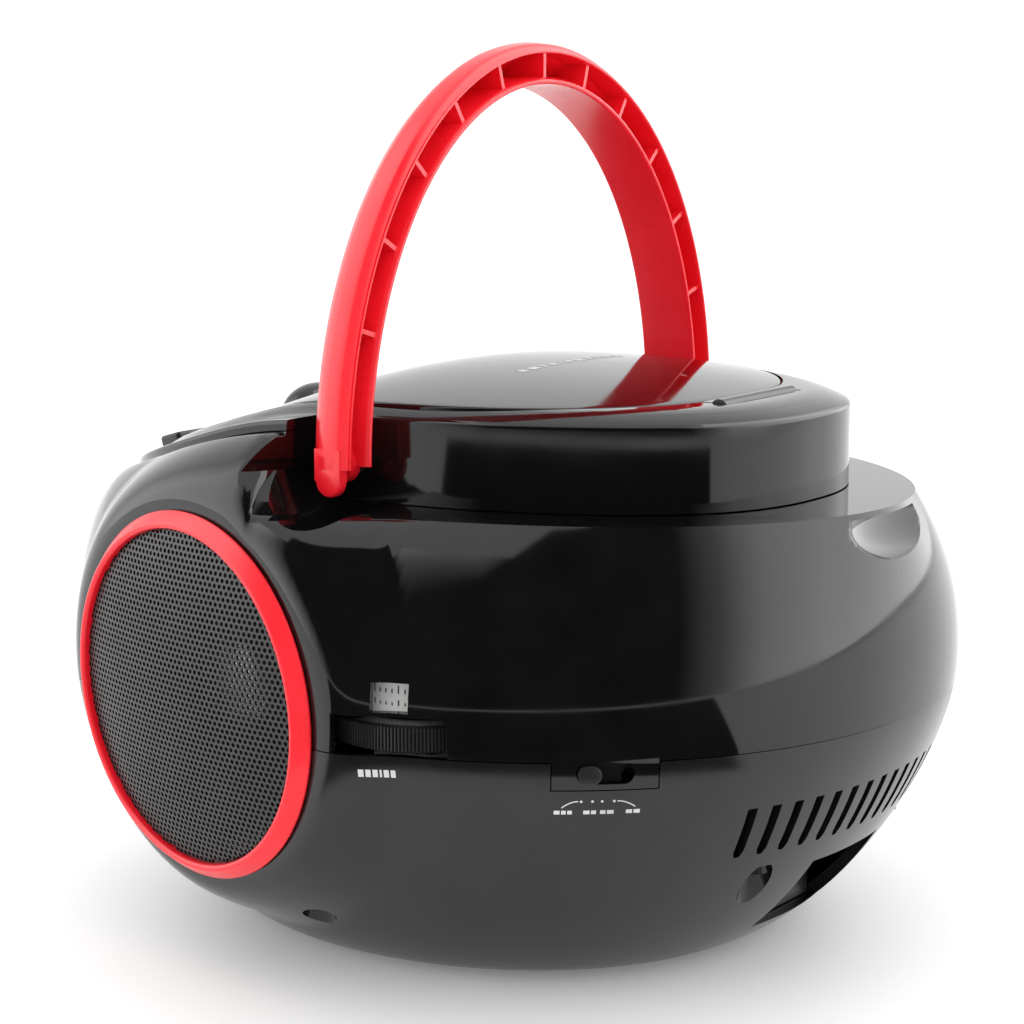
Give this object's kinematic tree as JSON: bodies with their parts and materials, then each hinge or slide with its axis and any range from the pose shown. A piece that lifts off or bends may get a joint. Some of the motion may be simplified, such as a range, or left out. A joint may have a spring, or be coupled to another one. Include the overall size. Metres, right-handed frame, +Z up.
{
  "type": "portable cd player",
  "caption": "Round glossy black portable CD player with radio: red folding carry handle, hinged disc lid, red-ringed side loudspeakers, tuning wheel and function switch.",
  "frame": {"origin": "centre of the bounding box at the bottom of the feet", "axes": "+Z up, -Y towards the front (keys and display), +X to the user's right"},
  "size_m": [0.2338, 0.252, 0.2378],
  "materials": {
    "shell_black": "satin moulded plastic",
    "gloss_black": "high-gloss piano black",
    "red": "semi-gloss moulded plastic",
    "grille_paint": "satin painted perforated steel",
    "steel": "plated steel",
    "cone_paper": "pressed pulp",
    "dust_cap_silver": "satin silver",
    "rubber": "matte",
    "black_plastic": "satin moulded plastic",
    "white_plastic": "satin",
    "board": "solder resist",
    "ferrite": "sintered",
    "smoke_window": "smoked clear plastic"
  },
  "bodies": {
    "case": {"lower_shell": "shell_black", "upper_shell": "gloss_black", "top_deck": "gloss_black", "lid_hinge_pin": "steel", "handle_pivot_pin_right": "steel", "speaker_ring_right": "red", "speaker_grille_right": "grille_paint", "speaker_frame_right": "steel", "speaker_cone_right": "cone_paper", "speaker_dust_cap_right": "dust_cap_silver", "battery_contacts_right": "steel", "handle_pivot_pin_left": "steel", "speaker_ring_left": "red", "speaker_grille_left": "grille_paint", "speaker_frame_left": "steel", "speaker_cone_left": "cone_paper", "speaker_dust_cap_left": "dust_cap_silver", "battery_contacts_left": "steel", "tuning_capacitor": "white_plastic", "volume_control": "black_plastic", "function_switch_body": "steel", "display_window": "smoke_window", "display_module": "board", "drive_plate": "steel", "spindle_motor": "steel", "guide_rod_right": "steel", "guide_rod_left": "steel", "main_board": "board", "transformer": "steel", "ferrite_aerial": "ferrite", "mains_inlet": "black_plastic", "foot_1": "rubber", "foot_2": "rubber", "foot_3": "rubber", "foot_4": "rubber", "case_screw_1": "steel", "case_screw_2": "steel", "case_screw_3": "steel", "case_screw_4": "steel", "case_screw_5": "steel", "case_screw_6": "steel"},
    "lid": {"cd_lid": "gloss_black"},
    "handle": {"carry_handle": "red"},
    "tuning": {"tuning_wheel": "black_plastic", "dial_drum": "white_plastic", "tuning_axle": "steel"},
    "volume": {"volume_wheel": "black_plastic", "volume_axle": "steel"},
    "function_switch": {"function_switch_knob": "black_plastic"},
    "hub": {"disc_hub": "black_plastic"},
    "pickup": {"laser_pickup": "black_plastic"},
    "battery_cover": {"battery_door": "black_plastic"},
    "key_program_cap": {"key_program": "black_plastic"},
    "key_skip_back_cap": {"key_skip_back": "black_plastic"},
    "key_play_pause_cap": {"key_play_pause": "black_plastic"},
    "key_skip_forward_cap": {"key_skip_forward": "black_plastic"},
    "key_stop_cap": {"key_stop": "black_plastic"}
  },
  "joints": [
    {"name": "lid_hinge", "type": "hinge", "parent": "case", "child": "lid", "pos_m": [0, 0.0793, 0.1462], "axis": [-1, 0, 0], "range_deg": [0, 20.5]},
    {"name": "handle_fold", "type": "hinge", "parent": "case", "child": "handle", "pos_m": [0, 0.005, 0.133], "axis": [-1, 0, 0], "range_deg": [0, 89]},
    {"name": "tuning_turn", "type": "hinge", "parent": "case", "child": "tuning", "pos_m": [0.0848, 0.0368, 0.0708], "axis": [0, 0, 1], "range_deg": [-90, 90]},
    {"name": "volume_turn", "type": "hinge", "parent": "case", "child": "volume", "pos_m": [-0.0848, 0.0368, 0.0708], "axis": [0, 0, 1], "range_deg": [0, 270]},
    {"name": "function_slide", "type": "slide", "parent": "case", "child": "function_switch", "axis": [-0.6451, 0.7641, 0], "range_m": [0, 0.0076]},
    {"name": "disc_spin", "type": "hinge", "parent": "case", "child": "hub", "pos_m": [0, 0.005, 0.129], "axis": [0, 0, 1], "continuous": true},
    {"name": "pickup_slide", "type": "slide", "parent": "case", "child": "pickup", "axis": [0, 1, 0], "range_m": [0, 0.034]},
    {"name": "battery_cover_hinge", "type": "hinge", "parent": "case", "child": "battery_cover", "pos_m": [0, -0.0404, 0.0038], "axis": [-1, 0, 0], "range_deg": [0, 80]},
    {"name": "key_program_press", "type": "slide", "parent": "case", "child": "key_program_cap", "axis": [0, 0.2785, -0.9604], "range_m": [0, 0.0014], "stiffness_N_per_m": 300},
    {"name": "key_skip_back_press", "type": "slide", "parent": "case", "child": "key_skip_back_cap", "axis": [0, 0.2785, -0.9604], "range_m": [0, 0.0014], "stiffness_N_per_m": 300},
    {"name": "key_play_pause_press", "type": "slide", "parent": "case", "child": "key_play_pause_cap", "axis": [0, 0.2785, -0.9604], "range_m": [0, 0.0014], "stiffness_N_per_m": 300},
    {"name": "key_skip_forward_press", "type": "slide", "parent": "case", "child": "key_skip_forward_cap", "axis": [0, 0.2785, -0.9604], "range_m": [0, 0.0014], "stiffness_N_per_m": 300},
    {"name": "key_stop_press", "type": "slide", "parent": "case", "child": "key_stop_cap", "axis": [0, 0.2785, -0.9604], "range_m": [0, 0.0014], "stiffness_N_per_m": 300}
  ]
}
